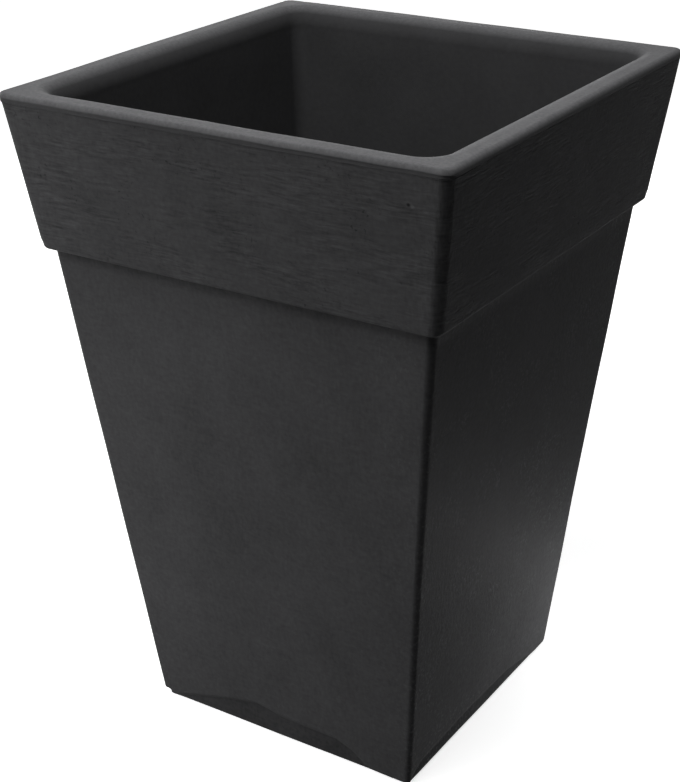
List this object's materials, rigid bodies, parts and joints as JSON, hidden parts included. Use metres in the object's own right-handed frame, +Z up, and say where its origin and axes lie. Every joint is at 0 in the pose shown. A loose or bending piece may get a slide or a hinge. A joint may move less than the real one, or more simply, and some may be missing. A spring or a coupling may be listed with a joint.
{
  "type": "tall square planter",
  "caption": "Tall square planter that tapers to its base, with a deep collar, a thick rolled rim, a double skin, a lift-out shelf and a drain plug.",
  "frame": {"origin": "on the floor, in the middle of the base, at the undersides of the rubber feet", "axes": "+Z up, out of the mouth; -Y is the front; the four sides are alike, and each faces along X or Y"},
  "size_m": [0.4626, 0.4626, 0.66],
  "materials": {
    "outer_laminate": "brushed dark grey coat on glass-fibre laminate, matt",
    "liner_laminate": "smooth dark grey coat on glass-fibre laminate, satin",
    "shelf_laminate": "glass-fibre laminate, rough side up",
    "rigid_foam": "rigid polyurethane foam board",
    "softwood": "sawn softwood, sealed",
    "plywood": "exterior plywood, sealed",
    "rubber": "moulded black rubber",
    "moulded_nylon": "moulded black nylon",
    "stainless_steel": "plain stainless steel"
  },
  "bodies": {
    "planter": {"core_board_back": "rigid_foam", "core_board_front": "rigid_foam", "core_board_left": "rigid_foam", "core_board_right": "rigid_foam", "corner_beads": "liner_laminate", "drain_gasket": "rubber", "drain_nut": "moulded_nylon", "drain_sleeve": "moulded_nylon", "floor_core": "plywood", "foot_back_left": "rubber", "foot_back_right": "rubber", "foot_front_left": "rubber", "foot_front_right": "rubber", "foot_screws": "stainless_steel", "liner_floor": "liner_laminate", "liner_panel_back": "liner_laminate", "liner_panel_front": "liner_laminate", "liner_panel_left": "liner_laminate", "liner_panel_right": "liner_laminate", "outer_shell": "outer_laminate", "rim_cap": "liner_laminate", "rim_rail_back": "softwood", "rim_rail_front": "softwood", "rim_rail_left": "softwood", "rim_rail_right": "softwood", "shelf_cleat_back": "shelf_laminate", "shelf_cleat_front": "shelf_laminate", "shelf_cleat_left": "shelf_laminate", "shelf_cleat_right": "shelf_laminate"},
    "lift_out_shelf": {"shelf": "shelf_laminate"},
    "plug": {"drain_plug": "rubber"}
  },
  "joints": [
    {"name": "shelf_lift", "type": "slide", "parent": "planter", "child": "lift_out_shelf", "axis": [0, 0, 1], "range_m": [0, 0.38]},
    {"name": "plug_pull", "type": "slide", "parent": "planter", "child": "plug", "axis": [0, 0, 1], "range_m": [0, 0.05]}
  ]
}
